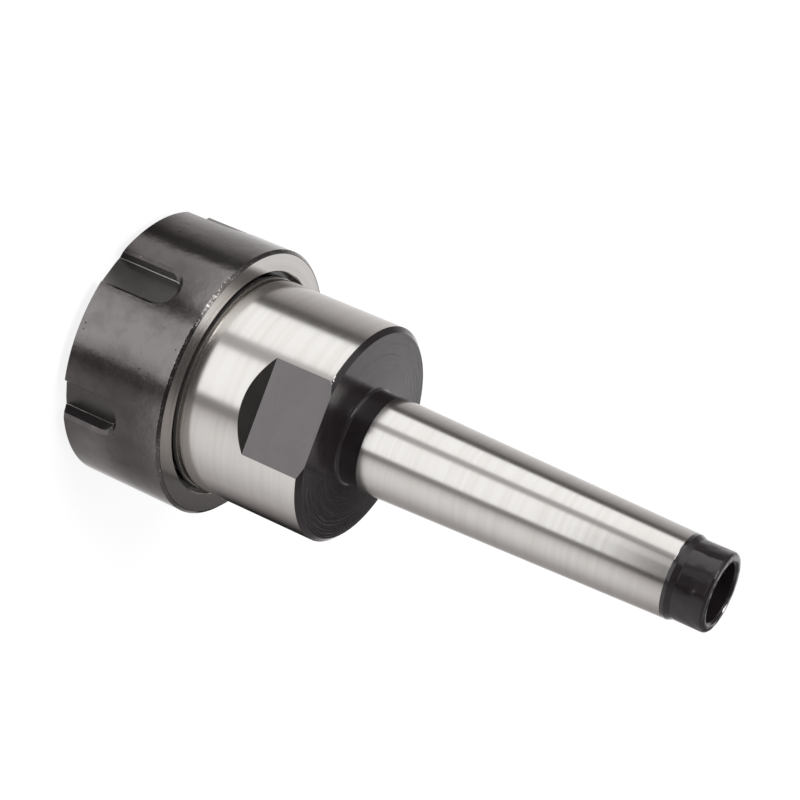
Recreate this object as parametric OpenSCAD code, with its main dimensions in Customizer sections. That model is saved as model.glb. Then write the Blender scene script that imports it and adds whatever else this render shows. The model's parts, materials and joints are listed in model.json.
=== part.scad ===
// Spring-collet chuck, size 32, on a number 2 self-holding taper shank.
// It stands on the nut's front face with the shank up. Z runs along the axis, and z = 0 is that face.

/* [Clamping nut] */
// Outside diameter of the nut
nut_d = 50; // [48:0.5:52]
// Length of the nut
nut_h = 22.5; // [22:0.5:24]
// Outer diameter of the flat front face, where the front bevel starts
nut_face_d = 43.4; // [42:0.2:46]
// Axial length of the front bevel
nut_bevel_h = 2; // [1:0.1:3]
// Chamfer on the rear edge
nut_rear_chamfer = 0.5; // [0.2:0.1:1]
// Diameter of the mouth that the collet looks out of
nut_mouth_d = 28.4; // [28:0.1:29]
// Diameter of the counterbore at the rear
nut_recess_d = 42; // [41:0.2:43]
// Depth of the counterbore at the rear
nut_recess_h = 1.5; // [1:0.1:2]
// Thickness of the off-centre lip that draws the collet out
lip_h = 2.35; // [2:0.05:2.4]
// Sideways offset of the lip's circle
lip_offset = 1.25; // [0.8:0.05:1.4]

/* [Spanner slots] */
// Number of slots round the nut
slot_count = 6; // [4:2:8]
// Width of a slot
slot_w = 6.5; // [5:0.1:8]
// Distance from the axis to the flat floor of a slot
slot_floor = 21.6; // [21.3:0.1:23]
// Reach of every other slot from the front face, to its round end
slot_long = 15.3; // [12:0.1:17]
// Reach of the slots between those
slot_short = 12.6; // [11:0.1:17]
// Width of the bevel along a slot's edges
slot_bevel = 0.7; // [0.2:0.1:0.8]
// Angle at which the tightened nut stands against the wrench flats
nut_angle = -0.8; // [-30:0.1:30]

/* [Nose thread] */
// Outside diameter of the thread between nose and nut
thread_d = 40; // [40:0.5:40.5]
// Pitch of that thread
thread_pitch = 1.5; // [1:0.25:1.5]
// Height of the nose's front end above the nut's front face
nose_z = 9.6; // [9.6:0.1:10]
// Start of the relief groove behind the thread
relief_z = 20.2; // [19.4:0.1:20.4]
// Length of the relief groove
relief_l = 1.5; // [1:0.1:1.6]
// Diameter of the relief groove
relief_d = 37.8; // [37:0.1:38]
// Diameter of the plain collar between the thread and the body
collar_d = 40; // [39.6:0.1:40]
// Start of the narrow groove between the collar and the body
undercut_z = 22.75; // [22.6:0.05:22.9]
// Width of that groove
undercut_w = 0.4; // [0.3:0.05:0.5]
// Diameter at the bottom of that groove
undercut_d = 38.4; // [38:0.1:39]

/* [Body] */
// Diameter of the body
body_d = 40; // [39.8:0.1:41]
// Start of the ground surface above the nut's front face
body_z = 24; // [23.8:0.1:26]
// Depth of the turned land in front of the ground surface
land_h = 0.1; // [0.05:0.05:0.2]
// Height of the body's rear face above the nut's front face
body_top = 48; // [46:0.5:54]
// Axial length of the rear chamfer
rear_chamfer_h = 0.8; // [0.4:0.1:1.2]
// Radial depth of the rear chamfer
rear_chamfer_r = 0.9; // [0.4:0.1:1.2]
// Width across the two wrench flats
flat_af = 36; // [34:0.5:37]
// Length of a flat along the axis
flat_l = 11.8; // [8:0.1:14]
// Lean of the sloping wall at the inner end of a flat, from square to the axis
flat_lean = 50; // [0:5:60]

/* [Taper shank] */
// Diameter at the gauge line
gauge_d = 17.78; // [17.5:0.01:18]
// Height of the gauge line above the body's rear face
gauge_h = 5; // [4:0.5:6]
// Length over which the taper's diameter shrinks by one
taper_n = 20.02; // [19:0.01:21]
// Length of the shank from the rear face to its end
shank_l = 69; // [60:0.5:75]
// Diameter of the unground neck
neck_d = 17.4; // [16.5:0.1:17.6]
// Length of the neck
neck_l = 4; // [3:0.1:5]
// Radius where the neck meets the rear face
neck_fillet = 0.7; // [0.3:0.1:1]
// Bevel on the big end of the ground taper
ground_bevel = 0.2; // [0.1:0.05:0.3]
// Length of the unground tip
tip_l = 6.8; // [6:0.1:9]
// Diameter of the tip
tip_d = 14.1; // [13.6:0.1:14.2]
// Axial length of the slope from the taper down to the tip
tip_slope_h = 1; // [0.6:0.1:1.5]
// Radius on the end of the tip
tip_round = 0.8; // [0.4:0.1:1]

/* [Drawbar hole] */
// Outside diameter of the drawbar thread
drawbar_d = 10; // [10:0.5:10]
// Diameter drilled before that thread is cut
drawbar_drill_d = 8.5; // [8.4:0.1:8.8]
// Diameter of the plain counterbore at the mouth
counterbore_d = 10.5; // [10.4:0.1:10.8]
// Depth of the counterbore
counterbore_h = 4; // [3:0.5:6]
// Length of the thread
drawbar_thread_l = 24; // [16:1:28]
// Chamfer at the mouth
mouth_chamfer = 0.4; // [0.2:0.1:0.6]

/* [Collet] */
// Largest diameter of the collet
collet_d = 33; // [33:0.1:33]
// Length of the collet
collet_l = 40; // [38:0.5:40]
// Bore that grips the tool
collet_bore_d = 16; // [6:1:18]
// Set-back of the collet's face behind the nut's face
collet_setback = 0.5; // [0.4:0.1:0.6]
// Half angle of the long rear cone
rear_cone = 8; // [8:1:8]
// Half angle of the short front cone
front_cone = 30; // [30:1:30]
// Diameter of the collet's front face
collet_face_d = 27.2; // [27:0.2:27.4]
// Diameter at the bottom of the extraction groove
groove_d = 29.4; // [29:0.1:29.8]
// Width of the extraction groove
groove_w = 3; // [3:0.1:3.2]
// Diameter of the rear cone at the groove
cone_d = 32.3; // [32:0.1:32.4]
// Slits cut from each end
slit_count = 8; // [4:1:8]
// Width of a slit
slit_w = 0.9; // [0.5:0.1:1.2]
// Metal left at the front end by the slits that are cut from the rear
front_bridge = 7; // [6:0.5:9]
// Metal left at the rear end by the slits that are cut from the front
rear_bridge = 5; // [4:0.5:8]

/* [Fits] */
// Play between a cone and its seat
cone_play = 0.04; // [0.02:0.01:0.08]
// Play of the collet's widest band in the nut
band_play = 0.15; // [0.1:0.05:0.3]

/* [Hidden] */
$fn = 128;
past = 1;

nut_r = nut_d / 2;
body_r = body_d / 2;
// Depth of a thread over its pitch
thread_depth = 0.62;
thread_play = 0.05;
thread_core_r = thread_d / 2 - thread_depth * thread_pitch;
thread_bore_r = thread_d / 2 + thread_play;
relief_r = relief_d / 2;
collar_r = collar_d / 2;
collar_z = relief_z + relief_l;
undercut_r = undercut_d / 2;
undercut_end = undercut_z + undercut_w;

// The collet's own heights
collet_z = collet_setback;
band_z = collet_z + (collet_d - collet_face_d) / 2 / tan(front_cone);
band_h = 0.46;
groove_z = band_z + band_h;
cone_z = groove_z + groove_w;
collet_top = collet_z + collet_l;
cone_r = cone_d / 2;
cone_top_r = cone_r - (collet_top - cone_z) * tan(rear_cone);
edge = 0.4;

// The nut's inside
seat_shift = cone_play / cos(front_cone);
mouth_r = nut_mouth_d / 2;
seat_z = collet_z + (mouth_r - seat_shift - collet_face_d / 2) / tan(front_cone);
band_bore_r = collet_d / 2 + band_play;
seat_top = seat_z + (band_bore_r - mouth_r) / tan(front_cone);
lip_play = 0.25;
lip_z = groove_z + lip_play;
lip_r = collet_d / 2 + lip_play;
lip_top = lip_z + lip_h;
thread_run_r = thread_bore_r + 0.25;
thread_run_h = 1.2;
slot_rise = 2;

// The holder's socket and shank
socket_shift = cone_play / cos(rear_cone);
socket_room = 2;
socket_top = collet_top + socket_room;
drill_tip = 59;
drill_run = 2;
socket_end_r = cone_r + socket_shift - (socket_top - cone_z) * tan(rear_cone);
shank_end = body_top + shank_l;
ground_z = body_top + neck_l;
ground_end = shank_end - tip_l;
thread_top = shank_end - counterbore_h;
thread_end = thread_top - drawbar_thread_l;
drill_end = thread_end - drill_run;

function taper_r(z) = gauge_d / 2 - (z - body_top - gauge_h) / taper_n / 2;

// An arc's points from one angle to another, for the rounded corners of a profile
function arc(x, z, r, from, to, steps = 8) =
    [for (i = [0:steps]) let (a = from + (to - from) * i / steps) [x + r * cos(a), z + r * sin(a)]];

module turned(profile) {
    rotate_extrude() polygon(profile);
}

module bored(d, z, h) {
    translate([0, 0, z]) cylinder(d = d, h = h);
}

// Outline of one spanner slot seen along its depth: parallel sides and a round inner end
module slot_outline(reach, w) {
    translate([0, reach - slot_w / 2]) circle(d = w);
    translate([-w / 2, -past]) square([w, reach - slot_w / 2 + past]);
}

module slot_cut(reach) {
    depth = nut_r - slot_floor + past;
    rotate([90, 0, 90]) translate([0, 0, slot_floor]) linear_extrude(depth) slot_outline(reach, slot_w);
    // The bevel is a wider, shallower cut with sloping sides along the straight edges
    surface_x = sqrt(nut_r * nut_r - slot_w * slot_w / 4) - slot_bevel;
    translate([0, 0, -past])
        linear_extrude(reach - slot_w / 2 + past)
            polygon([[surface_x, -slot_w / 2],
                     [surface_x + slot_rise, -slot_w / 2 - slot_rise],
                     [surface_x + slot_rise, slot_w / 2 + slot_rise],
                     [surface_x, slot_w / 2]]);
    translate([surface_x, 0, reach - slot_w / 2])
        rotate([0, 90, 0])
            cylinder(r1 = slot_w / 2, r2 = slot_w / 2 + slot_rise, h = slot_rise);
}

module clamping_nut() {
    color([0.17, 0.165, 0.17])
        rotate([0, 0, nut_angle])
            difference() {
                turned([
                    [mouth_r + edge, 0],
                    [nut_face_d / 2, 0],
                    [nut_r, nut_bevel_h],
                    [nut_r, nut_h - nut_rear_chamfer],
                    [nut_r - nut_rear_chamfer, nut_h],
                    [nut_recess_d / 2, nut_h],
                    [nut_recess_d / 2, nut_h - nut_recess_h],
                    [thread_bore_r, nut_h - nut_recess_h],
                    [thread_bore_r, lip_top + thread_run_h],
                    [thread_run_r, lip_top + thread_run_h],
                    [thread_run_r, lip_top],
                    [lip_r - lip_offset - past, lip_top],
                    [lip_r - lip_offset - past, lip_z],
                    [band_bore_r, lip_z],
                    [band_bore_r, seat_top],
                    [mouth_r, seat_z],
                    [mouth_r, edge],
                ]);
                translate([lip_offset, 0, 0]) bored(2 * lip_r, lip_z - edge, lip_h + 2 * edge);
                for (i = [0:slot_count - 1])
                    rotate([0, 0, i * 360 / slot_count])
                        slot_cut(i % 2 == 0 ? slot_long : slot_short);
            }
}

module slits() {
    // Every slit passes through one wall only, so it starts in the bore
    for (i = [0:slit_count - 1]) {
        rotate([0, 0, i * 360 / slit_count])
            translate([0, -slit_w / 2, collet_z - past])
                cube([collet_d, slit_w, collet_l - rear_bridge + past]);
        rotate([0, 0, (i + 0.5) * 360 / slit_count])
            translate([0, -slit_w / 2, collet_z + front_bridge])
                cube([collet_d, slit_w, collet_l - front_bridge + past]);
    }
}

module collet() {
    color([0.75, 0.75, 0.74])
        difference() {
            turned([
                [0, collet_z],
                [collet_face_d / 2, collet_z],
                [collet_d / 2, band_z],
                [collet_d / 2, groove_z],
                [groove_d / 2, groove_z],
                [groove_d / 2, cone_z],
                [cone_r, cone_z],
                [cone_top_r + edge * tan(rear_cone), collet_top - edge],
                [cone_top_r - edge, collet_top],
                [0, collet_top],
            ]);
            bored(collet_bore_d, collet_z - past, collet_l + 2 * past);
            slits();
        }
}

// Cut that leaves one wrench flat on the -Y side, with its sloping inner wall
module flat_cut() {
    out = body_r - flat_af / 2 + past;
    run = out * tan(flat_lean);
    foot = body_top - flat_l;
    rotate([90, 0, 90])
        linear_extrude(body_d, center = true)
            polygon([
                [-flat_af / 2, foot],
                [-flat_af / 2 - out, foot - run],
                [-flat_af / 2 - out, body_top + past],
                [-flat_af / 2, body_top + past],
            ]);
}

module holder_outside() {
    turned(concat(
        [
            [0, nose_z],
            [thread_core_r - edge, nose_z],
            [thread_core_r, nose_z + edge],
            [thread_core_r, relief_z],
            [relief_r, relief_z + edge],
            [relief_r, collar_z],
            [collar_r - edge / 2, collar_z],
            [collar_r, collar_z + edge / 2],
            [collar_r, undercut_z],
            [undercut_r, undercut_z],
            [undercut_r, undercut_end],
            [body_r - land_h, undercut_end],
            [body_r - land_h, body_z - land_h],
            [body_r, body_z],
            [body_r, body_top - rear_chamfer_h],
            [body_r - rear_chamfer_r, body_top],
        ],
        arc(neck_d / 2 + neck_fillet, body_top + neck_fillet, neck_fillet, 270, 180),
        [
            [neck_d / 2, ground_z - ground_bevel],
            [taper_r(ground_z) - ground_bevel, ground_z],
            [taper_r(ground_z + ground_bevel), ground_z + ground_bevel],
            [taper_r(ground_end), ground_end],
            [tip_d / 2, ground_end + tip_slope_h],
        ],
        arc(tip_d / 2 - tip_round, shank_end - tip_round, tip_round, 0, 90),
        [[0, shank_end]]
    ));
}

module socket() {
    turned([
        [0, nose_z - past],
        [cone_r + socket_shift + (cone_z - nose_z + past) * tan(rear_cone), nose_z - past],
        [socket_end_r, socket_top],
        [0, socket_top + socket_end_r / tan(drill_tip)],
    ]);
}

module drawbar_hole() {
    turned([
        [0, shank_end + past],
        [counterbore_d / 2 + mouth_chamfer + past, shank_end + past],
        [counterbore_d / 2, shank_end - mouth_chamfer],
        [counterbore_d / 2, thread_top],
        [drawbar_d / 2, thread_top],
        [drawbar_d / 2, thread_end],
        [drawbar_drill_d / 2, thread_end],
        [drawbar_drill_d / 2, drill_end],
        [0, drill_end - drawbar_drill_d / 2 / tan(drill_tip)],
    ]);
}

module holder_body() {
    color([0.8, 0.79, 0.77])
        difference() {
            holder_outside();
            socket();
            drawbar_hole();
            for (side = [0, 180])
                rotate([0, 0, side]) flat_cut();
        }
}

clamping_nut();
collet();
holder_body();
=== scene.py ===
"""Dresses the collet chuck holder: fine turned surfaces, threads, steel finishes, floor, light and camera."""

import json
from collections import namedtuple

import bmesh
import bpy
import numpy as np
from bpy.props import FloatProperty, FloatVectorProperty, IntProperty, PointerProperty
from mathutils import Matrix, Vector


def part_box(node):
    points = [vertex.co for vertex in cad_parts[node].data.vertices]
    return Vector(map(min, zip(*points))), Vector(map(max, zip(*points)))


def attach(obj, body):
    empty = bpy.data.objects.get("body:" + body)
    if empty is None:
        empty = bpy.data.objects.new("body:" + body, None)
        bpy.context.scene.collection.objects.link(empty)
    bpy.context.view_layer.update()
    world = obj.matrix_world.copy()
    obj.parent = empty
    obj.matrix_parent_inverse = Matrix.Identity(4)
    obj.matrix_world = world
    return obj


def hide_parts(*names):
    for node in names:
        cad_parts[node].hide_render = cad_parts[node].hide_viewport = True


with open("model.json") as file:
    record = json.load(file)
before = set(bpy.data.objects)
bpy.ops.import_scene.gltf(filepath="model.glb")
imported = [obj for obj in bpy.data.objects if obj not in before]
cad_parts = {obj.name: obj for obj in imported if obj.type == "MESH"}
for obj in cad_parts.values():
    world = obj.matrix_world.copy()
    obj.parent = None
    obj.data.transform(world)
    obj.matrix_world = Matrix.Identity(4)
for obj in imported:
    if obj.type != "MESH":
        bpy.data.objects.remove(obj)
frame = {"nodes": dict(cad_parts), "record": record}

bl_info = {
    "name": "Collet Chuck Holder",
    "version": (1, 0, 0),
    "blender": (4, 5, 0),
    "location": "View3D > Sidebar > Chuck",
    "description": "Builds the looks of a collet chuck holder round its packed solids",
    "category": "Add Mesh",
}

MM = 0.001
MOUNTS = {mount["name"]: mount for mount in frame["record"]["mounts"]}
NUT_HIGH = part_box("clamping_nut")[1]
HOLDER_LOW, HOLDER_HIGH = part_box("holder_body")
# A piece's finishes, numbered in the order of its materials
BLACK, BRIGHT, DEEP, MATT, MILLED = range(5)


def length(name, description, mm):
    """A length that the user may change, given here in millimetres."""
    return FloatProperty(name=name, description=description, default=mm * MM, unit="LENGTH", precision=5)


def angle(name, description, degrees):
    """An angle that the user may change, given here in degrees."""
    return FloatProperty(name=name, description=description, default=np.radians(degrees), subtype="ANGLE")


def colour(name, description, rgb):
    """A colour that the user may change."""
    return FloatVectorProperty(name=name, description=description, default=rgb, subtype="COLOR", min=0, max=1)


def share(name, description, value):
    """A number from 0 to 1 that the user may change."""
    return FloatProperty(name=name, description=description, default=value, subtype="FACTOR", min=0, max=1)


def amount(name, description, value, unit="NONE"):
    """A number from 0 upwards that the user may change."""
    return FloatProperty(name=name, description=description, default=value, unit=unit, min=0)


def location(name, description, metres):
    """A place that the user may change, given here in metres."""
    return FloatVectorProperty(name=name, description=description, default=metres,
                               subtype="TRANSLATION", unit="LENGTH")


def heading(name, description, vector):
    """A direction that the user may change."""
    return FloatVectorProperty(name=name, description=description, default=vector, subtype="DIRECTION")


class HolderSizes(bpy.types.PropertyGroup):
    """Sizes of the holder's body and taper shank."""

    nose_front: length("Nose front", "Height of the threaded nose's front end", HOLDER_LOW.z / MM)
    nose_radius: length("Nose radius", "Radius of the nose at the root of its thread", 19.07)
    relief_start: length("Relief start", "Height at which the relief groove starts", 20.2)
    relief_radius: length("Relief radius", "Radius of the relief groove behind the thread", 18.9)
    collar_start: length("Collar start", "Height at which the plain collar starts", 21.7)
    collar_radius: length("Collar radius", "Radius of the collar between thread and body", 20.0)
    collar_bevel: length("Collar bevel", "Bevel on the collar's front edge", 0.2)
    undercut_start: length("Undercut start", "Height of the narrow groove behind the collar", 22.75)
    undercut_width: length("Undercut width", "Width of that groove", 0.4)
    undercut_radius: length("Undercut radius", "Radius at the bottom of that groove", 19.2)
    land_depth: length("Land depth", "How far the turned land lies below the ground body", 0.1)
    body_front: length("Body front", "Height at which the ground body starts", 24.0)
    body_radius: length("Body radius", "Radius of the ground body", 20.0)
    body_rear: length("Body rear", "Height of the body's rear face", 48.0)
    rear_chamfer_length: length("Rear chamfer length", "Axial length of the rear chamfer", 0.8)
    rear_chamfer_depth: length("Rear chamfer depth", "Radial depth of the rear chamfer", 0.9)
    flat_distance: length("Flat distance", "Distance of each wrench flat from the axis",
                          MOUNTS["wrench_flat_back"]["pos_m"][1] / MM)
    flat_start: length("Flat start", "Height at which a wrench flat starts", 36.2)
    flat_lean: angle("Flat lean", "Lean of the sloping wall at the flat's inner end", 50.0)
    neck_radius: length("Neck radius", "Radius of the black neck", 8.7)
    neck_fillet: length("Neck fillet", "Radius between neck and rear face", 0.7)
    ground_start: length("Ground start", "Height at which the ground taper starts", 52.0)
    ground_bevel: length("Ground bevel", "Bevel on the big end of the ground taper", 0.2)
    gauge_height: length("Gauge height", "Height of the taper's gauge line",
                         MOUNTS["taper_shank"]["pos_m"][2] / MM)
    gauge_radius: length("Gauge radius", "Radius at the gauge line", 8.89)
    taper: FloatProperty(name="Taper", description="Loss of diameter over length", default=1 / 20.02)
    black_start: length("Black start", "Height at which the black of the tip starts", 109.5)
    tip_start: length("Tip start", "Height at which the ground taper ends", 110.2)
    tip_slope: length("Tip slope", "Axial length of the slope down to the tip", 1.0)
    tip_radius: length("Tip radius", "Radius of the black tip", 7.05)
    tip_round: length("Tip round", "Radius on the end of the tip", 0.8)
    shank_end: length("Shank end", "Height of the shank's small end", HOLDER_HIGH.z / MM)
    counterbore_radius: length("Counterbore radius", "Radius of the plain mouth of the drawbar hole", 5.25)
    counterbore_depth: length("Counterbore depth", "Depth of that mouth", 4.0)
    mouth_chamfer: length("Mouth chamfer", "Chamfer at the hole's mouth and on the nose", 0.4)
    drill_radius: length("Drill radius", "Radius drilled before the drawbar thread", 4.25)
    drill_run: length("Drill run", "How much deeper than its thread the drawbar hole is drilled", 2.0)
    drill_tip: angle("Drill tip", "Half angle of a drilled hole's bottom", 59.0)
    socket_radius: length("Socket radius", "Radius of the collet socket at its mouth", 16.1)
    socket_end: length("Socket end", "Height of the socket's bottom edge", 42.5)
    socket_angle: angle("Socket angle", "Half angle of the socket's cone", 8.0)
    edge_round: length("Edge round", "Rounding of plain turned edges", 0.1)
    foot_round: length("Foot round", "Rounding at the foot of the collar and of the tip", 0.2)
    mouth_round: length("Mouth round", "Rounding at the mouth of the drawbar hole", 0.15)
    collar_round: length("Collar round", "Rounding of the collar's bevelled edge", 0.05)
    groove_round: length("Groove round", "Rounding of the narrow groove's edges", 0.04)
    land_round: length("Land round", "Rounding of the step from the land to the ground body", 0.02)


class NutSizes(bpy.types.PropertyGroup):
    """Sizes of the clamping nut."""

    radius: length("Radius", "Outside radius of the nut", 25.0)
    height: length("Height", "Length of the nut", NUT_HIGH.z / MM)
    face_radius: length("Face radius", "Radius of the flat front face", 21.7)
    bevel_height: length("Bevel height", "Axial length of the front bevel", 2.0)
    rear_chamfer: length("Rear chamfer", "Chamfer on the rear edge", 0.5)
    rim_band: length("Rim band", "Width of the dark line inside the rear chamfer", 0.15)
    mouth_radius: length("Mouth radius", "Radius of the mouth", 14.2)
    mouth_chamfer: length("Mouth chamfer", "Chamfer at the mouth", 0.4)
    seat_start: length("Seat start", "Height at which the collet seat starts", 1.46)
    seat_angle: angle("Seat angle", "Half angle of the collet seat's cone", 30.0)
    band_radius: length("Band radius", "Radius of the bore round the collet's widest band", 16.65)
    lip_start: length("Lip start", "Height of the extraction lip's front side", 6.23)
    lip_height: length("Lip height", "Thickness of the extraction lip", 2.35)
    lip_radius: length("Lip radius", "Radius of the extraction lip's circle", 16.75)
    lip_offset: length("Lip offset", "Sideways offset of that circle", 1.25)
    thread_radius: length("Thread radius", "Radius of the nut's bore at the root of its thread", 20.05)
    run_depth: length("Run-out depth", "Depth of the run-out groove past the thread's root", 0.25)
    run_length: length("Run-out length", "Length of the run-out groove behind the lip", 1.2)
    recess_radius: length("Recess radius", "Radius of the rear counterbore", 21.0)
    recess_depth: length("Recess depth", "Depth of the rear counterbore", 1.5)
    recess_bevel: length("Recess bevel", "Bevel on the rear counterbore's edge", 0.2)
    slot_count: IntProperty(name="Slots", description="Number of spanner slots", default=6)
    slot_width: length("Slot width", "Width of a spanner slot", 6.5)
    slot_floor: length("Slot floor", "Distance of a slot's floor from the axis", 21.6)
    slot_bevel: length("Slot bevel", "Width of the bevel along a slot's edges", 0.7)
    slot_fillet: length("Slot fillet", "Radius between a slot's floor and its walls", 0.1)
    slot_long: length("Long slot", "Reach of every other slot", 15.3)
    slot_short: length("Short slot", "Reach of the slots between those", 12.6)
    turn: angle("Turn", "Angle at which the tightened nut stands", -0.8)


class ThreadSizes(bpy.types.PropertyGroup):
    """Sizes of the ridges of the three threads."""

    nose_pitch: length("Nose pitch", "Pitch of the thread between nose and nut", 1.5)
    nose_crest: length("Nose crest", "Outside radius of the nose's thread", 19.97)
    nose_middle: length("Nose middle", "Radius at which this ridge and the nut's are equally wide", 19.51)
    nut_crest: length("Nut crest", "Inside radius of the nut's thread", 19.22)
    nut_lead: length("Nut lead", "Distance of the nut's ridge from the lip", 2.0)
    drawbar_pitch: length("Drawbar pitch", "Pitch of the drawbar thread", 1.5)
    drawbar_crest: length("Drawbar crest", "Inside radius of the drawbar thread", 4.3)
    drawbar_lead: length("Drawbar lead", "Distance of the drawbar thread's ridge from its inner end", 1.0)
    flank: angle("Flank", "Angle of a thread's flank from square to the axis", 30.0)
    play: length("Play", "How much narrower than half a pitch a ridge is", 0.05)
    sunk: length("Sunk", "How deep the foot of a ridge lies in its wall", 0.03)


class WearSpots(bpy.types.PropertyGroup):
    """Where the black is rubbed bright: at a wear of 1 only single flecks are, at 2 nearly all of it is."""

    slot_wear: amount("Slot wear", "Wear along the bevels of the spanner slots", 1.15)
    slot_wear_width: length("Slot wear width", "How far down a slot's walls that wear fades out", 0.25)
    rim_wear: amount("Rim wear", "Wear of the nut's rear chamfer", 1.24)
    rim_fade: length("Rim fade", "Distance over which that wear fades out", 0.3)
    chip_wear: amount("Chip wear", "Wear of the body's rear edge next to the front flat", 1.5)
    chip_turn: angle("Chip turn", "Angle of that spot", -118.0)
    chip_breadth: angle("Chip breadth", "Angle over which that spot fades out", 8.1)
    ragged_wear: amount("Ragged wear", "Wear of the line at which the tip's black starts", 1.7)
    ragged_turn: angle("Ragged turn", "Angle of that spot", -119.0)
    ragged_breadth: angle("Ragged breadth", "Angle over which that spot fades out", 16.2)
    # The glint is a painted highlight: bare steel put in the drawbar hole's mouth at the angle where a bright
    # reflection shows
    painted_glint_wear: amount("Glint wear", "Wear in the mouth of the drawbar hole", 2.2)
    painted_glint_turn: angle("Glint turn", "Angle of that spot", 60.0)
    painted_glint_breadth: angle("Glint breadth", "Angle over which that spot fades out", 14.03)


class Finishes(bpy.types.PropertyGroup):
    """Colours and roughness of the finishes."""

    steel: colour("Steel", "Colour of ground steel", (0.805, 0.785, 0.76))
    steel_shade: colour("Steel shade", "Colour of dull and of rubbed steel", (0.72, 0.695, 0.665))
    steel_roughness: share("Steel roughness", "Roughness of clean ground steel", 0.15)
    streak_roughness: share("Streak roughness", "Roughness of the duller streaks in ground steel", 0.18)
    turned_roughness: share("Turned roughness", "Roughness of steel left dull by the turning tool", 0.34)
    nut_oxide: colour("Nut oxide", "Colour of the nut's black oxide", (0.215, 0.196, 0.196))
    slot_oxide: colour("Slot oxide", "Colour of the spanner slots' milled floors", (0.19, 0.184, 0.178))
    flat_oxide: colour("Flat oxide", "Colour of the wrench flats' black oxide", (0.145, 0.132, 0.138))
    deep_black: colour("Deep black", "Colour of the oiled black on rear face, neck and tip",
                       (0.011, 0.0085, 0.0098))
    pit_black: colour("Pit black", "Colour of the small pits in the nut's black", (0.02, 0.02, 0.02))
    black_roughness: share("Black roughness", "Least roughness of the black finishes", 0.14)
    grain_roughness: share("Grain roughness", "What the roughest grains add to that", 0.08)
    oil_roughness: share("Oil roughness", "Roughness of the oil film on the black finishes", 0.1)


class StageSizes(bpy.types.PropertyGroup):
    """Camera, floor and lamp."""

    camera_place: location("Camera place", "Where the camera stands", (-0.04996, -0.3658, 0.21434))
    camera_aim: heading("Camera aim", "Direction in which the camera looks", (0.10358, 0.90908, -0.40355))
    camera_up: heading("Camera up", "Direction of the top of the picture", (-0.93122, -0.0539, -0.36044))
    lens: FloatProperty(name="Lens", description="Focal length, in millimetres", default=105.5)
    sensor: FloatProperty(name="Sensor", description="Width of the sensor, in millimetres", default=36.0)
    floor_radius: length("Floor radius", "Radius of the floor", 6000.0)
    floor_hole: length("Floor hole", "Radius of the floor's hole under the nut, which lets light in", 20.0)
    floor_tone: share("Floor tone", "Grey of the floor that takes the shadow", 0.9)
    floor_white: share("Floor white", "Share of plain white in the floor that the camera sees", 0.85)
    lamp_place: location("Lamp place", "Where the soft lamp hangs", (-0.5, -0.35, 0.9))
    lamp_size: length("Lamp size", "Diameter of the soft lamp", 500.0)
    key_power: amount("Key power", "Power of the soft lamp", 9.0, unit="POWER")


def blended(rows, steps=6):
    """Rounds the corners of a profile, given as rows of radius, height and rounding.

    A corner P with neighbours on both sides becomes a parabola from A to B, which lie on the two
    sides at the distance rounding / tan(half the corner's angle): (1-s)^2 A + 2 s (1-s) P + s^2 B.
    """
    rows = np.array(rows, float)
    points, rounding = rows[:, :2], rows[1:-1, 2:]
    corner = points[1:-1]
    back = points[:-2] - corner
    ahead = points[2:] - corner
    back /= np.linalg.norm(back, axis=1, keepdims=True)
    ahead /= np.linalg.norm(ahead, axis=1, keepdims=True)
    half = np.arccos(np.clip((back * ahead).sum(1, keepdims=True), -1, 1)) / 2
    reach = rounding / np.tan(half)
    start, end = corner + reach * back, corner + reach * ahead
    s = np.linspace(0, 1, steps)[:, None, None]
    curve = (1 - s) ** 2 * start + 2 * s * (1 - s) * corner + s**2 * end
    inner = curve.transpose(1, 0, 2).reshape(-1, 2)
    return np.vstack([points[:1], inner, points[-1:]])


def turned(profile, angles):
    """Surface of revolution: the point (r, z) of the profile is (r cos a, r sin a, z) at the angle a."""
    r, z = np.asarray(profile, float).T
    heights = np.repeat(z[:, None], len(angles), axis=1)
    return np.stack([np.outer(r, np.cos(angles)), np.outer(r, np.sin(angles)), heights], axis=-1)


def ring(radius, z, angles):
    """One closed line round the axis, whose radius may change with the angle."""
    return np.stack([radius * np.cos(angles), radius * np.sin(angles), np.full(len(angles), z)], axis=-1)


def turned_by(points, turn):
    """The points turned by an angle about the axis."""
    c, s = np.cos(turn), np.sin(turn)
    x, y, z = np.moveaxis(points, -1, 0)
    return np.stack([c * x - s * y, s * x + c * y, z], axis=-1)


def spot(angles, middle, breadth):
    """Weight of a spot round the axis: exp(-((a - middle) / breadth)^2) at the angle a."""
    return np.exp(-(((angles - middle) / breadth) ** 2))


def cells(rows, columns, start, closed):
    """Corner numbers of the cells of a grid, whose last column meets its first one if it is closed."""
    number = start + np.arange(rows * columns).reshape(rows, columns)
    if closed:
        number = np.hstack([number, number[:, :1]])
    return np.stack([number[:-1, :-1], number[:-1, 1:], number[1:, 1:], number[1:, :-1]], axis=-1)


def weld(mesh, apart=0.0005 * MM):
    """Merges the points that lie on each other and turns all faces outwards."""
    work = bmesh.new()
    work.from_mesh(mesh)
    bmesh.ops.remove_doubles(work, verts=work.verts, dist=apart)
    bmesh.ops.recalc_face_normals(work, faces=work.faces)
    work.to_mesh(mesh)
    work.free()


def finish_piece(name, mesh, materials, body, replaced, sharp):
    """Shades a mesh smooth, but for edges that bend by more than sharp degrees, and puts it on its body."""
    for material in materials:
        mesh.materials.append(material)
    weld(mesh)
    mesh.shade_smooth()
    mesh.set_sharp_from_angle(angle=np.radians(sharp))
    piece = bpy.data.objects.new(name, mesh)
    bpy.context.scene.collection.objects.link(piece)
    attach(piece, body)
    if replaced:
        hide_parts(replaced)
    return piece


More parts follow.
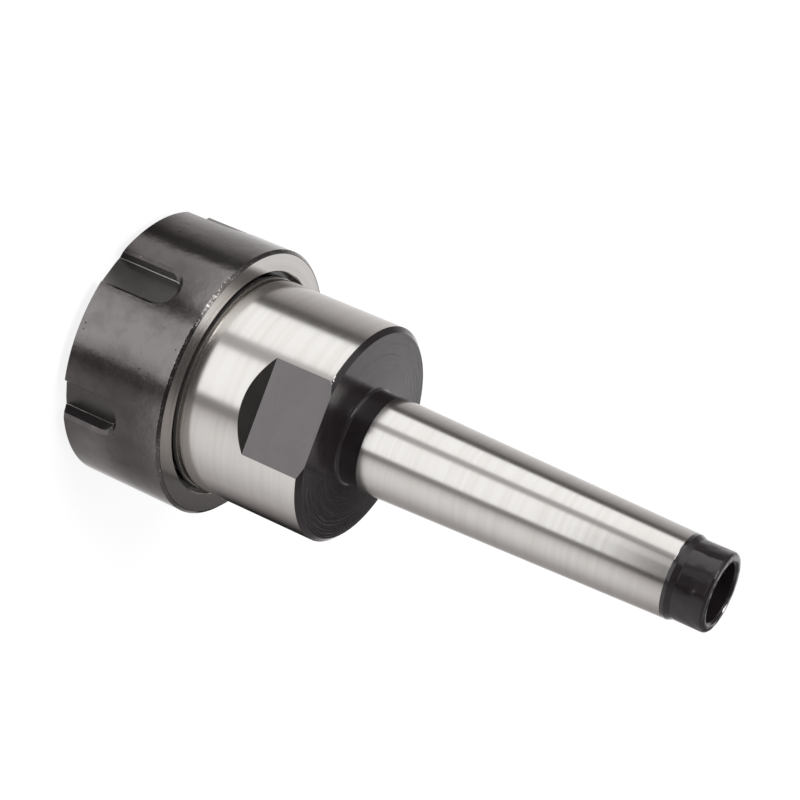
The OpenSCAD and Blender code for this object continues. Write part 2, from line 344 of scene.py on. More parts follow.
def make_piece(name, patches, materials, body, replaced=None, sharp=22.0):
    """Joins grids of points into one closed piece that rides on a body.

    A patch is (points, closed, finish, wear): the grid, whether its last column meets its first
    one, the material number of each cell, and how worn the black is at each point.
    """
    faces, finishes, start = [], [], 0
    for points, closed, finish, _ in patches:
        rows, columns = points.shape[:2]
        patch = cells(rows, columns, start, closed)
        faces.append(patch.reshape(-1, 4))
        finishes.append(np.broadcast_to(finish, patch.shape[:2]).ravel())
        start += rows * columns
    places = np.vstack([points.reshape(-1, 3) for points, _, _, _ in patches])
    wear = np.concatenate([np.broadcast_to(wear, points.shape[:2]).ravel() for points, _, _, wear in patches])
    mesh = bpy.data.meshes.new(name)
    mesh.from_pydata(places.tolist(), [], np.vstack(faces).tolist())
    mesh.polygons.foreach_set("material_index", np.concatenate(finishes).astype(np.int32))
    mesh.attributes.new("wear", "FLOAT", "POINT").data.foreach_set("value", wear.astype(np.float32))
    return finish_piece(name, mesh, materials, body, replaced, sharp)


def taper_radius(holder, z):
    """Radius of the taper at a height: it falls by half the taper for each unit of height."""
    return holder.gauge_radius - (z - holder.gauge_height) * holder.taper / 2


def spread(edge, inside=12, outside=36):
    """Angles round the axis from +X, with a column on both edges of both wrench flats.

    Each quarter turn has its own fan: from the middle of a flat to its edge, and from there to the
    middle of the round side.
    """
    across_flat = np.linspace(0, edge, inside + 1)
    past_flat = np.linspace(edge, np.pi / 2, outside + 1)[1:]
    quarter = np.concatenate([across_flat, past_flat])
    half = np.concatenate([-quarter[::-1], quarter[1:-1]])
    return np.concatenate([half - np.pi / 2, half + np.pi / 2])


def off_flat(angles):
    """How far an angle lies from the middle of the nearer wrench flat."""
    return np.abs(angles % np.pi - np.pi / 2)


def nose_patch(holder, angles):
    """The socket, the nose, the collar and the narrow groove, turned from the socket's bottom on."""
    socket_length = holder.socket_end - holder.nose_front
    bottom_radius = holder.socket_radius - socket_length * np.tan(holder.socket_angle)
    undercut_end = holder.undercut_start + holder.undercut_width
    land_radius = holder.body_radius - holder.land_depth
    profile = blended(
        [
            (0, holder.socket_end + bottom_radius / np.tan(holder.drill_tip), 0),
            (bottom_radius, holder.socket_end, 0),
            (holder.socket_radius, holder.nose_front, holder.edge_round),
            (holder.nose_radius - holder.mouth_chamfer, holder.nose_front, holder.edge_round),
            (holder.nose_radius, holder.nose_front + holder.mouth_chamfer, holder.edge_round),
            (holder.nose_radius, holder.relief_start, 0),
            (holder.relief_radius, holder.relief_start + holder.mouth_chamfer, 0),
            (holder.relief_radius, holder.collar_start, holder.foot_round),
            (holder.collar_radius - holder.collar_bevel, holder.collar_start, holder.collar_round),
            (holder.collar_radius, holder.collar_start + holder.collar_bevel, holder.collar_round),
            (holder.collar_radius, holder.undercut_start, holder.groove_round),
            (holder.undercut_radius, holder.undercut_start, 0),
            (holder.undercut_radius, undercut_end, 0),
            (land_radius, undercut_end, holder.groove_round),
            (land_radius, holder.body_front - holder.land_depth, holder.land_round),
            (holder.body_radius, holder.body_front, holder.land_round),
            (holder.body_radius, holder.body_front + holder.mouth_chamfer, 0),
        ]
    )
    radius, height = (profile[:-1] + profile[1:]).T / 2
    outside = radius > holder.socket_radius + holder.mouth_chamfer
    finish = np.full(len(radius), BRIGHT)
    finish[outside & (height < undercut_end)] = MATT
    finish[outside & (height < holder.collar_start)] = DEEP
    return turned(profile, angles), True, finish[:, None], 0.0


def body_patch(holder, worn, angles, chamfer_steps=4):
    """The ground body with its two wrench flats, from its front edge to its rear face.

    Where a point of the cylinder or of the rear chamfer would stand further out than a flat, it is
    set back to the flat's distance. The wall at the flat's inner end is ruled from the arch where
    its plane cuts the cylinder, z = start - tan(lean) (R cos d - distance), to the flat's first
    line, where d is the angle from the flat's middle.
    """
    off = off_flat(angles)
    rise = np.tan(holder.flat_lean) * (holder.body_radius * np.cos(off) - holder.flat_distance)
    arch = holder.flat_start - np.minimum(np.abs(rise), rise.max())
    front = ring(holder.body_radius, holder.body_front + holder.mouth_chamfer, angles)
    sloping = ring(holder.body_radius, 0, angles)
    sloping[:, 2] = arch
    chamfer_start = holder.body_rear - holder.rear_chamfer_length
    rows = [ring(holder.body_radius, z, angles) for z in (holder.flat_start, chamfer_start)]
    for s in np.linspace(0, 1, chamfer_steps + 1)[1:]:
        radius = holder.body_radius - s * holder.rear_chamfer_depth
        height = holder.body_rear - (1 - s) * holder.rear_chamfer_length
        rows.append(ring(radius, height, spread(np.arccos(holder.flat_distance / radius))))
    cut = np.array(rows)
    cut[..., 1] = np.clip(cut[..., 1], -holder.flat_distance, holder.flat_distance)
    edge = np.arccos(holder.flat_distance / holder.body_radius)
    on_flat = (off + np.roll(off, -1)) / 2 < edge
    finish = np.full((len(rows) + 1, len(angles)), BRIGHT)
    # Rows of cells: 0 leads up to the arch, 1 is the flat's wall, 2 leads up to the chamfer, and 3 starts it
    wall, chamfer = 1, 3
    finish[chamfer:] = DEEP
    finish[wall:, on_flat] = BLACK
    finish[wall, on_flat] = MILLED
    wear = np.zeros((len(rows) + 2, len(angles)))
    wear[chamfer : chamfer + 2] = worn.chip_wear * spot(angles, worn.chip_turn, worn.chip_breadth)
    return np.vstack([front[None], sloping[None], cut]), True, finish, wear


def shank_patch(holder, worn, rim):
    """The rear face, the neck, the taper, the tip and the drawbar hole, turned from the body's rim."""
    thread = MOUNTS["drawbar_thread"]
    thread_radius = thread["dims"]["r_mm"] * MM
    thread_end = thread["pos_m"][2] - thread["dims"]["length_mm"] * MM / 2
    drill_end = thread_end - holder.drill_run
    counterbore_end = holder.shank_end - holder.counterbore_depth
    mouth_edge = holder.counterbore_radius + holder.mouth_chamfer
    ground_radius = taper_radius(holder, holder.ground_start)
    profile = blended(
        [
            (holder.body_radius - holder.rear_chamfer_depth, holder.body_rear, 0),
            (holder.neck_radius, holder.body_rear, holder.neck_fillet),
            (holder.neck_radius, holder.ground_start - holder.ground_bevel, 0),
            (ground_radius - holder.ground_bevel, holder.ground_start, 0),
            (ground_radius, holder.ground_start + holder.ground_bevel, holder.edge_round),
            (taper_radius(holder, holder.black_start), holder.black_start, 0),
            (taper_radius(holder, holder.tip_start), holder.tip_start, holder.edge_round),
            (holder.tip_radius, holder.tip_start + holder.tip_slope, holder.foot_round),
            (holder.tip_radius, holder.shank_end, holder.tip_round),
            (mouth_edge, holder.shank_end, holder.mouth_round),
            (holder.counterbore_radius, holder.shank_end - holder.mouth_chamfer, holder.edge_round),
            (holder.counterbore_radius, counterbore_end, 0),
            (thread_radius, counterbore_end, 0),
            (thread_radius, thread_end, 0),
            (holder.drill_radius, thread_end, 0),
            (holder.drill_radius, drill_end, 0),
            (0, drill_end - holder.drill_radius / np.tan(holder.drill_tip), 0),
        ]
    )
    radius, height = (profile[:-1] + profile[1:]).T / 2
    ground = (height > holder.ground_start) & (height < holder.black_start) & (radius > mouth_edge)
    angles = spread(np.arccos(holder.flat_distance / (holder.body_radius - holder.rear_chamfer_depth)))
    points = turned(profile, angles)
    points[0] = rim
    r, z = profile.T[:, :, None]
    # The bare steel that makes a painted glint lies on the outer half of the mouth's chamfer and reaches a
    # little past its edge
    past_edge, down_chamfer = 0.2 * holder.mouth_chamfer, 0.5 * holder.mouth_chamfer
    in_mouth = (r < mouth_edge + past_edge) & (z > holder.shank_end - down_chamfer)
    painted_glint = in_mouth * spot(angles, worn.painted_glint_turn, worn.painted_glint_breadth)
    at_black = np.isclose(z, holder.black_start, atol=0.01 * MM)
    ragged = at_black * spot(angles, worn.ragged_turn, worn.ragged_breadth)
    wear = worn.painted_glint_wear * painted_glint + worn.ragged_wear * ragged
    return points, True, np.where(ground, BRIGHT, DEEP)[:, None], wear


def outside_radius(nut, z):
    """Radius of the nut's turned outside: a cone up to the bevel's height, then a cylinder."""
    return np.minimum(nut.radius, nut.face_radius + (nut.radius - nut.face_radius) * z / nut.bevel_height)


def slot_sector(nut, worn, reach, outer=11, side=6, straight=6):
    """Outside of the sector of the nut round one spanner slot, as a grid of lines and steps.

    The lines run outwards from the slot's middle line, square to it along the straight sides and
    fanned round its end. At the distance d from the middle line a point lies on the flat floor, on
    the wall at half the slot's width, on the bevel that rises by d beyond it, and then on the
    turned outside, x = sqrt(R(z)^2 - y^2). Bevel and outside meet where d + c = sqrt(R^2 - (d sin
    p)^2), with p the line's direction. The inner steps lead up to there, and the outer ones on to
    the sector's border.
    """
    inner = 8
    # As many lines end on the rear edge as there are points on the front edge
    across = 2 * (inner + outer - 1)
    half = nut.slot_width / 2
    centre = reach - half
    middle_centre = (nut.slot_long + nut.slot_short) / 2 - half
    top = nut.height - nut.rear_chamfer
    sector = np.pi / nut.slot_count
    # Heights on the front bevel, closest together at the front face
    cone = np.array([0, 0.08, 0.25, 0.5, 0.75]) * nut.bevel_height
    near = np.concatenate([cone, np.linspace(nut.bevel_height, centre, straight + 1)])
    far = np.concatenate([cone, np.linspace(nut.bevel_height, middle_centre, straight + 1)])
    upwards = np.concatenate([far[:-1], np.linspace(far[-1], top, side + 1)[:-1]])
    edge_count = len(upwards)
    fan = np.linspace(-np.pi / 2, np.pi / 2, 2 * side + across + 1)
    flank = np.full(len(near) - 1, np.pi / 2)
    direction = np.concatenate([-flank, fan, flank])[:, None]
    start = np.concatenate([near[:-1], np.full(len(fan), centre), near[-2::-1]])[:, None]
    border_z = np.concatenate([upwards, np.full(across + 1, top), upwards[::-1]])[:, None]
    border_angle = np.concatenate(
        [np.full(edge_count, -sector), np.linspace(-sector, sector, across + 1), np.full(edge_count, sector)]
    )[:, None]

    def outside(d):
        """Point of the turned outside at the distance d from the middle line."""
        y = d * np.sin(direction)
        z = start + d * np.cos(direction)
        return np.sqrt(outside_radius(nut, z) ** 2 - y**2), y, z

    shelf = np.sqrt(nut.radius**2 - half**2) - nut.slot_bevel
    rest = shelf - half
    squared = 1 + np.sin(direction) ** 2
    radius = outside_radius(nut, start)
    edge = (np.sqrt(rest**2 - squared * (rest**2 - radius**2)) - rest) / squared
    edge = np.maximum(edge, half)
    fillet, bend = nut.slot_fillet, 0.3 * nut.slot_fillet
    steps = []
    # Floor and fillet, as distances from the middle line and lifts above the floor
    for d, lift in [(0, 0), (0.55 * half, 0), (half - fillet, 0), (half - bend, bend), (half, fillet)]:
        x, y, z = outside(d)
        steps.append((np.minimum(x, nut.slot_floor + lift), y, z))
    wall_top = np.minimum(x, shelf)
    steps.append((np.maximum(steps[-1][0], wall_top - worn.slot_wear_width), y, z))
    steps.append((wall_top, y, z))
    steps.append(outside(edge))
    x, y, z = steps[-1]
    edge_angle = np.arctan2(y, x)
    close_to_edge = 0.06
    for s in np.append(close_to_edge, np.linspace(0, 1, outer)[1:]):
        a = edge_angle + s * (border_angle - edge_angle)
        height = z + s * (border_z - z)
        r = outside_radius(nut, height)
        steps.append((r * np.cos(a), r * np.sin(a), height))
    grids = [np.hstack([np.broadcast_to(step[axis], start.shape) for step in steps]) for axis in range(3)]
    points = np.stack(grids, axis=-1)
    # The last two of the inner steps are the bevel's edges, and up to them lie floor, fillet and wall
    bevel = inner - 2
    wear = np.zeros(points.shape[1])
    wear[bevel:inner] = worn.slot_wear
    finish = np.full(points.shape[1] - 1, BLACK)
    # The fillet gets bright ground steel as a painted highlight line along the slot's foot, and the walls get
    # the deep black as painted shade inside the slot
    finish[:bevel] = MILLED, MILLED, BRIGHT, BRIGHT, DEEP, DEEP
    bottom = np.vstack([points[0, ::-1], points[-1, 1:-1]])
    rim = points[edge_count : edge_count + across, -1]
    return points, finish, wear, bottom, rim


def nut_patches(nut, worn):
    """The nut: six slotted sectors outside, and all the rest as lines round the axis.

    Each line is given with its radius, its height and the finish of the cells that lead up to it.
    The extraction lip is a circle set off the axis by e: its radius at the angle a is
    e cos a + sqrt(R^2 - (e sin a)^2).
    """
    patches, bottom, rim = [], [], []
    for i in range(nut.slot_count):
        reach = nut.slot_short if i % 2 else nut.slot_long
        points, finish, wear, low, high = slot_sector(nut, worn, reach)
        turn = nut.turn + i * 2 * np.pi / nut.slot_count
        patches.append((turned_by(points, turn), False, finish, wear))
        bottom.append(turned_by(low, turn))
        rim.append(turned_by(high, turn))
    bottom = np.vstack(bottom)
    rim = np.vstack(rim)
    angles = np.arctan2(rim[:, 1], rim[:, 0])
    around = angles - nut.turn
    sideways = nut.lip_offset * np.sin(around)
    lip = nut.lip_offset * np.cos(around) + np.sqrt(nut.lip_radius**2 - sideways**2)
    passage = np.maximum(lip, nut.band_radius)
    passage_start = nut.lip_start - nut.mouth_chamfer
    seat_end = nut.seat_start + (nut.band_radius - nut.mouth_radius) / np.tan(nut.seat_angle)
    lip_end = nut.lip_start + nut.lip_height
    run_radius = nut.thread_radius + nut.run_depth
    run_end = lip_end + nut.run_length
    recess = nut.height - nut.recess_depth
    rear_edge = nut.radius - nut.rear_chamfer
    lines = [
        (nut.mouth_radius + nut.mouth_chamfer, 0, BLACK),
        (nut.mouth_radius, nut.mouth_chamfer, BLACK),
        (nut.mouth_radius, nut.seat_start, BLACK),
        (nut.band_radius, seat_end, BRIGHT),
        (nut.band_radius, passage_start, BLACK),
        (passage, passage_start, BLACK),
        (passage, nut.lip_start, BLACK),
        (lip, nut.lip_start, BLACK),
        (lip, lip_end, BLACK),
        (run_radius, lip_end, BLACK),
        (run_radius, run_end, BLACK),
        (nut.thread_radius, run_end, BLACK),
        (nut.thread_radius, recess, BLACK),
        (nut.recess_radius, recess, DEEP),
        (nut.recess_radius, nut.height - nut.recess_bevel, MATT),
        (nut.recess_radius + nut.recess_bevel, nut.height, BRIGHT),
        (rear_edge - nut.rim_band, nut.height, BRIGHT),
        (rear_edge, nut.height, DEEP),
    ]
    rows = [bottom] + [ring(radius, z, angles) for radius, z, _ in lines] + [rim]
    finish = np.array([kind for _, _, kind in lines] + [BLACK])[:, None]
    patches.append((np.array(rows), True, finish, 0.0))
    return patches


def ridge(threads, root, crest, middle, pitch, span, turn, steps=90):
    """Helical thread ridge, a tube with four corners along z = pitch a / (2 pi).

    It is half a pitch wide at its middle radius, less a little play, and narrows towards its crest
    by the flank's slope. Over its first and last third of a turn its height grows from and falls
    back to nothing.
    """
    low, high = span
    turns = (high - low) / pitch
    t = np.linspace(0, turns, int(turns * steps) + 1)
    grown = np.clip(np.minimum(t, turns - t) * 3, 0, 1)
    top = root + (crest - root) * grown
    narrowing = np.tan(threads.flank) * np.sign(crest - root)
    half = (pitch / 2 - threads.play) / 2
    wide = half - (root - middle) * narrowing
    slim = half - (top - middle) * narrowing
    a = 2 * np.pi * (low / pitch + t) + turn
    height = low + pitch * t
    corners = [(root, -wide), (top, -slim), (top, slim), (root, wide)]
    lines = [np.stack([r * np.cos(a), r * np.sin(a), height + dz], axis=-1) for r, dz in corners]
    return np.array(lines).transpose(1, 0, 2), True, BLACK, 0.0


# The place on an object that a finish depends on: the point as a vector, its coordinates, and its radius
Place = namedtuple("Place", "point x y z r")
# Spans over which a finish changes with its noise, which lies mostly between 0.3 and 0.7
MIDDLING = (0.3, 0.7)
DULL_TO_CLEAN = (0.3, 0.95)
DARK_TO_PALE = (0.36, 0.6)
SOUND_TO_PITTED = (0.72, 0.75)
BLACK_TO_BARE = (0.6667, 0.7733)
# Depth of the lines in ground steel, and of the unevenness of the black
LINE_DEPTH = 0.01 * MM
FILM_DEPTH = 0.03 * MM
# What reflections see is a little warm where it is dark
DARK_GREEN = 0.93
DARK_BLUE = 0.925


def opaque(rgb):
    """The colour with an alpha of 1."""
    return (*rgb, 1)


def grey(level):
    """A grey, with an alpha of 1."""
    return (level, level, level, 1)


def add_node(tree, kind, inputs=None, **settings):
    """Adds a shader node, with its settings, and sets or links its inputs."""
    made = tree.nodes.new(kind)
    for key, value in settings.items():
        setattr(made, key, value)
    for key, value in (inputs or {}).items():
        if isinstance(value, bpy.types.NodeSocket):
            tree.links.new(value, made.inputs[key])
        else:
            made.inputs[key].default_value = value
    return made


def math(tree, operation, *values):
    """Output of a Math node."""
    return add_node(tree, "ShaderNodeMath", dict(enumerate(values)), operation=operation).outputs[0]


def mean(tree, first, second, weight):
    """Mean of two values, of which the first has the given weight and the second has the rest."""
    return math(tree, "MULTIPLY_ADD", first, weight, math(tree, "MULTIPLY", second, 1 - weight))


def mixed(tree, factor, low, high):
    """Colour between two colours."""
    return add_node(tree, "ShaderNodeMix", {0: factor, 6: low, 7: high}, data_type="RGBA").outputs[2]


def ranged(tree, value, low, high, to_low=0.0, to_high=1.0):
    """Value carried smoothly from one range to another."""
    inputs = {"Value": value, "From Min": low, "From Max": high, "To Min": to_low, "To Max": to_high}
    return add_node(tree, "ShaderNodeMapRange", inputs, interpolation_type="SMOOTHSTEP").outputs[0]


def noise(tree, vector, scale, detail=2.0, rough=0.5):
    """Noise from 0 to 1."""
    inputs = {"Vector": vector, "Scale": scale, "Detail": detail, "Roughness": rough}
    return add_node(tree, "ShaderNodeTexNoise", inputs).outputs[0]


def circle_share(degrees):
    """Degrees round the axis as a share of the full circle, from 0 at -180 to 1 at 180."""
    return (degrees + 180) / 360


def turn_share(tree, x, y):
    """The same share for the place or direction with the given x and y."""
    return math(tree, "MULTIPLY_ADD", math(tree, "ARCTAN2", y, x), 1 / (2 * np.pi), 0.5)


def levels(tree, turn, stops):
    """Grey level at a share of the full circle, from stops of degrees and level."""
    made = add_node(tree, "ShaderNodeValToRGB", {0: turn})
    elements = made.color_ramp.elements
    while len(elements) < len(stops):
        elements.new(0.5)
    for element, (degrees, level) in zip(elements, stops):
        element.position = circle_share(degrees)
        pale = min(level, 1.0)
        green = level * (DARK_GREEN + (1 - DARK_GREEN) * pale)
        blue = level * (DARK_BLUE + (1 - DARK_BLUE) * pale)
        element.color = (level, green, blue, 1)
    return made.outputs[0]


def new_material(name, metallic):
    """A material with its nodes, its shader, and the place on the object."""
    material = bpy.data.materials.new(name)
    material.use_nodes = True
    tree = material.node_tree
    shader = tree.nodes["Principled BSDF"]
    shader.inputs["Metallic"].default_value = metallic
    point = add_node(tree, "ShaderNodeTexCoord").outputs["Object"]
    x, y, z = add_node(tree, "ShaderNodeSeparateXYZ", {0: point}).outputs[:3]
    flat = add_node(tree, "ShaderNodeCombineXYZ", {0: x, 1: y}).outputs[0]
    r = add_node(tree, "ShaderNodeVectorMath", {0: flat}, operation="LENGTH").outputs["Value"]
    return material, tree, shader, Place(point, x, y, z, r)


def turning_lines(tree, place, density, drift, detail=2.0):
    """Noise that changes fast along the axis and outwards and hardly round it, as a tool's marks do.

    It is taken at the point (density z, density r, drift (x + 0.7 y)).
    """
    slow = math(tree, "MULTIPLY", math(tree, "MULTIPLY_ADD", place.y, 0.7, place.x), drift)
    along = math(tree, "MULTIPLY", place.z, density)
    across = math(tree, "MULTIPLY", place.r, density)
    lines = add_node(tree, "ShaderNodeCombineXYZ", {0: along, 1: across, 2: slow}).outputs[0]
    return noise(tree, lines, 1.0, detail)


def ground_steel(name, finishes):
    """Ground steel: bright, with fine lines round the axis, duller streaks and faint smudges."""
    material, tree, shader, place = new_material(name, metallic=1.0)
    fine = turning_lines(tree, place, density=5200.0, drift=60.0)
    broad = turning_lines(tree, place, density=900.0, drift=30.0, detail=3.0)
    smudge = noise(tree, place.point, scale=70.0, detail=4.0)
    streak = mean(tree, broad, fine, weight=0.75)
    clean = ranged(tree, math(tree, "MULTIPLY_ADD", smudge, 0.5, streak), *DULL_TO_CLEAN)
    tone = mixed(tree, clean, opaque(finishes.steel_shade), opaque(finishes.steel))
    tree.links.new(tone, shader.inputs["Base Color"])
    rough = ranged(tree, streak, *MIDDLING, finishes.streak_roughness, finishes.steel_roughness)
    tree.links.new(rough, shader.inputs["Roughness"])
    bump = add_node(tree, "ShaderNodeBump", {"Height": fine, "Strength": 0.05, "Distance": LINE_DEPTH})
    tree.links.new(bump.outputs[0], shader.inputs["Normal"])
    return material


def black_oxide(name, finishes, tone, metallic=1.0, specular=0.5, dark=0.78, rough=0.0, coat=1.0,
                marks=0.04, detail=2.0, waves=1.0, lumps=None, rim=None):
    """Oiled black oxide: mottled, with fine tool marks, a soft waviness and spots that are worn bright.

    The tone falls to its dark share in patches. The given roughness comes on top of that of the
    black and of its coat of oil. Marks and waves are the heights of the tool marks and of the
    waviness. The film lumps together past the height given as lumps. The rim is the radius and the
    height past which a turned edge is pitted and worn, its wear, and the distance over which that
    wear fades out.
    """
    material, tree, shader, place = new_material(name, metallic)
    fine = turning_lines(tree, place, density=3000.0, drift=90.0)
    mottle = noise(tree, place.point, scale=260.0, detail=5.0, rough=0.6)
    grain = noise(tree, place.point, scale=2600.0, detail=3.0, rough=0.6)
    wave = noise(tree, place.point, scale=230.0, detail=detail, rough=0.55)
    patchy = mean(tree, mottle, fine, weight=0.85)
    duller = tuple(dark * part for part in tone)
    film = mixed(tree, ranged(tree, patchy, *DARK_TO_PALE), opaque(duller), opaque(tone))
    wear = add_node(tree, "ShaderNodeAttribute", attribute_name="wear").outputs["Fac"]
    if rim:
        radius, height, rim_wear, fade = rim
        past_radius = ranged(tree, place.r, radius - fade, radius)
        past_height = ranged(tree, place.z, height - fade, height)
        past_rim = math(tree, "MULTIPLY", past_radius, past_height)
        wear = math(tree, "MAXIMUM", wear, math(tree, "MULTIPLY", past_rim, rim_wear))
        pit = ranged(tree, noise(tree, place.point, scale=900.0), *SOUND_TO_PITTED)
        film = mixed(tree, pit, film, opaque(finishes.pit_black))
    fleck = mean(tree, grain, mottle, weight=0.6)
    rubbed = ranged(tree, math(tree, "MULTIPLY", wear, fleck), *BLACK_TO_BARE)
    tree.links.new(mixed(tree, rubbed, film, opaque(finishes.steel_shade)), shader.inputs["Base Color"])
    least = finishes.black_roughness + rough
    roughness = ranged(tree, grain, *MIDDLING, least, least + finishes.grain_roughness)
    tree.links.new(roughness, shader.inputs["Roughness"])
    shader.inputs["Specular IOR Level"].default_value = specular
    shader.inputs["Coat Weight"].default_value = coat
    shader.inputs["Coat Roughness"].default_value = finishes.oil_roughness + rough
    ripple = math(tree, "MULTIPLY", fine, marks)
    wave = math(tree, "MULTIPLY", wave, waves)
    if lumps:
        past = ranged(tree, place.z, lumps - 1 * MM, lumps)
        ripple = math(tree, "MULTIPLY", ripple, math(tree, "SUBTRACT", 1.0, past))
        lump_height = 9.0
        lump = math(tree, "MULTIPLY", noise(tree, place.point, scale=330.0, detail=1.0), lump_height)
        wave = math(tree, "MULTIPLY_ADD", lump, past, wave)
    grain_height = 0.05
    ripple = math(tree, "MULTIPLY_ADD", grain, grain_height, ripple)
    uneven = math(tree, "ADD", ripple, wave)
    bump = add_node(tree, "ShaderNodeBump", {"Height": uneven, "Strength": 1.0, "Distance": FILM_DEPTH})
    tree.links.new(bump.outputs[0], shader.inputs["Normal"])
    tree.links.new(bump.outputs[0], shader.inputs["Coat Normal"])
    return material


def matt_steel(name, finishes):
    """Steel left dull by the turning tool."""
    material, _, shader, _ = new_material(name, metallic=1.0)
    shader.inputs["Base Color"].default_value = opaque(finishes.steel_shade)
    shader.inputs["Roughness"].default_value = finishes.turned_roughness
    return material


def once(make, name, *values, **settings):
    """The material of that name, made the first time it is asked for."""
    return bpy.data.materials.get(name) or make(name, *values, **settings)


def holder_finishes():
    """The holder's finishes in the order of BLACK, BRIGHT, DEEP, MATT and MILLED."""
    finishes = bpy.context.scene.chuck_finishes
    holder = bpy.context.scene.chuck_holder
    flats = once(black_oxide, "blackened_flats", finishes, finishes.flat_oxide, dark=0.93)
    deep = once(black_oxide, "oiled_deep_black", finishes, finishes.deep_black,
                metallic=0.0, specular=0.3, coat=0.85, marks=0.85, lumps=holder.tip_start)
    milled = once(black_oxide, "milled_black_oxide", finishes, finishes.slot_oxide,
                  dark=0.9, rough=0.2, coat=0.5)
    steel = once(ground_steel, "fine_ground_steel", finishes)
    matt = once(matt_steel, "dull_turned_steel", finishes)
    return [flats, steel, deep, matt, milled]


def nut_finishes():
    """The nut's finishes in the same order, with the nut's own black."""
    finishes, nut = bpy.context.scene.chuck_finishes, bpy.context.scene.chuck_nut
    worn = bpy.context.scene.chuck_wear
    rim = (nut.radius - nut.rear_chamfer, nut.height - nut.rear_chamfer, worn.rim_wear, worn.rim_fade)
    satin = once(black_oxide, "satin_black_oxide", finishes, finishes.nut_oxide,
                 marks=0.025, detail=5.0, waves=2.4, rim=rim)
    return [satin, *holder_finishes()[BRIGHT:]]


class MESH_OT_chuck_holder(bpy.types.Operator):
    """Build the holder's body, from its socket to the small end of its shank"""

    bl_idname = "mesh.chuck_holder"
    bl_label = "Holder body"

    def execute(self, context):
        holder, worn = context.scene.chuck_holder, context.scene.chuck_wear
        angles = spread(np.arccos(holder.flat_distance / holder.body_radius))
        body = body_patch(holder, worn, angles)
        patches = [nose_patch(holder, angles), body, shank_patch(holder, worn, body[0][-1])]
        make_piece("holder_turning", patches, holder_finishes(), "holder", "holder_body")
        return {"FINISHED"}


class MESH_OT_chuck_nut(bpy.types.Operator):
    """Build the clamping nut with its spanner slots, collet seat and extraction lip"""

    bl_idname = "mesh.chuck_nut"
    bl_label = "Clamping nut"

    def execute(self, context):
        patches = nut_patches(context.scene.chuck_nut, context.scene.chuck_wear)
        make_piece("nut_turning", patches, nut_finishes(), "nut", "clamping_nut")
        return {"FINISHED"}


class MESH_OT_chuck_collet(bpy.types.Operator):
    """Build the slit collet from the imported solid, welded and smoothed"""

    bl_idname = "mesh.chuck_collet"
    bl_label = "Collet"

    def execute(self, context):
        mesh = frame["nodes"]["collet"].data.copy()
        mesh.materials.clear()
        steel = holder_finishes()[BRIGHT]
        finish_piece("spring_collet", mesh, [steel], "collet", "collet", sharp=28.0)
        return {"FINISHED"}


class MESH_OT_chuck_threads(bpy.types.Operator):
    """Build the helical ridges of the nose thread, the nut's thread and the drawbar thread"""

    bl_idname = "mesh.chuck_threads"
    bl_label = "Threads"

    def execute(self, context):
        scene = context.scene
        threads, holder, nut = scene.chuck_threads, scene.chuck_holder, scene.chuck_nut
        clear = threads.nose_pitch / 2
        nose_span = (holder.nose_front + holder.mouth_chamfer + clear, holder.relief_start - clear)
        lip_end = nut.lip_start + nut.lip_height
        nut_span = (lip_end + threads.nut_lead, nut.height - nut.recess_depth - clear)
        hole = MOUNTS["drawbar_thread"]
        hole_radius, half = hole["dims"]["r_mm"] * MM, hole["dims"]["length_mm"] * MM / 2
        hole_low, hole_high = hole["pos_m"][2] - half, hole["pos_m"][2] + half
        hole_span = (hole_low + threads.drawbar_lead, hole_high - threads.drawbar_pitch / 2)
        hole_middle = (hole_radius + threads.drawbar_crest) / 2
        nose = ridge(threads, holder.nose_radius - threads.sunk, threads.nose_crest, threads.nose_middle,
                     threads.nose_pitch, nose_span, turn=0)
        between = ridge(threads, nut.thread_radius + threads.sunk, threads.nut_crest, threads.nose_middle,
                        threads.nose_pitch, nut_span, turn=np.pi)
        drawbar = ridge(threads, hole_radius + threads.sunk, threads.drawbar_crest, hole_middle,
                        threads.drawbar_pitch, hole_span, turn=0)
        make_piece("nose_thread", [nose], holder_finishes(), "holder")
        make_piece("nut_thread", [between], nut_finishes(), "nut")
        make_piece("drawbar_thread", [drawbar], holder_finishes(), "holder")
        return {"FINISHED"}


# Grey levels of what reflections see, as stops of degrees round the axis from +X and level.
# The tent below the horizon. The shank mirrors it as it is, and the other pieces through the floor's tint.
LOW_RING = (
    (-180, 1.12), (-142, 1.1), (-138, 0.42), (-127, 0.42), (-123, 1.1), (-75, 1.08), (-70, 0.22), (-61, 0.24),
    (-58, 0.44), (-51, 0.64), (-43, 0.74), (-32, 0.78), (-15, 0.72), (5, 0.55), (20, 0.42), (35, 0.36),
    (52, 0.36), (62, 0.5), (76, 0.8), (84, 0.95), (98, 0.78), (121, 0.60), (137, 0.48), (150, 0.34),
    (159, 0.22), (163, 0.1), (174, 0.1), (178, 1.1), (180, 1.12),
)
# The tent above the horizon, which the rear faces mirror
HIGH_RING = (
    (-180, 0.6), (-171, 0.75), (-160, 0.9), (-150, 1.0), (-142, 1.0), (-135, 0.7), (-128, 0.3), (-118, 0.1),
    (-80, 0.08), (-66, 0.13), (-50, 0.28), (-38, 0.36), (-8, 0.36), (20, 0.26), (60, 0.15), (78, 0.05),
    (81, 0.08), (84, 0.75), (100, 0.68), (118, 0.3), (124, 0.14), (152, 0.13), (164, 0.22), (177, 0.5),
    (180, 0.6),
)
# The top of the tent, which chamfers and sloping walls mirror
TOP_RING = (
    (-180, 0.6), (-150, 0.6), (-144, 0.06), (-20, 0.06), (20, 0.4), (60, 0.6), (100, 0.6), (125, 0.1),
    (154, 0.1), (162, 0.6), (180, 0.6),
)
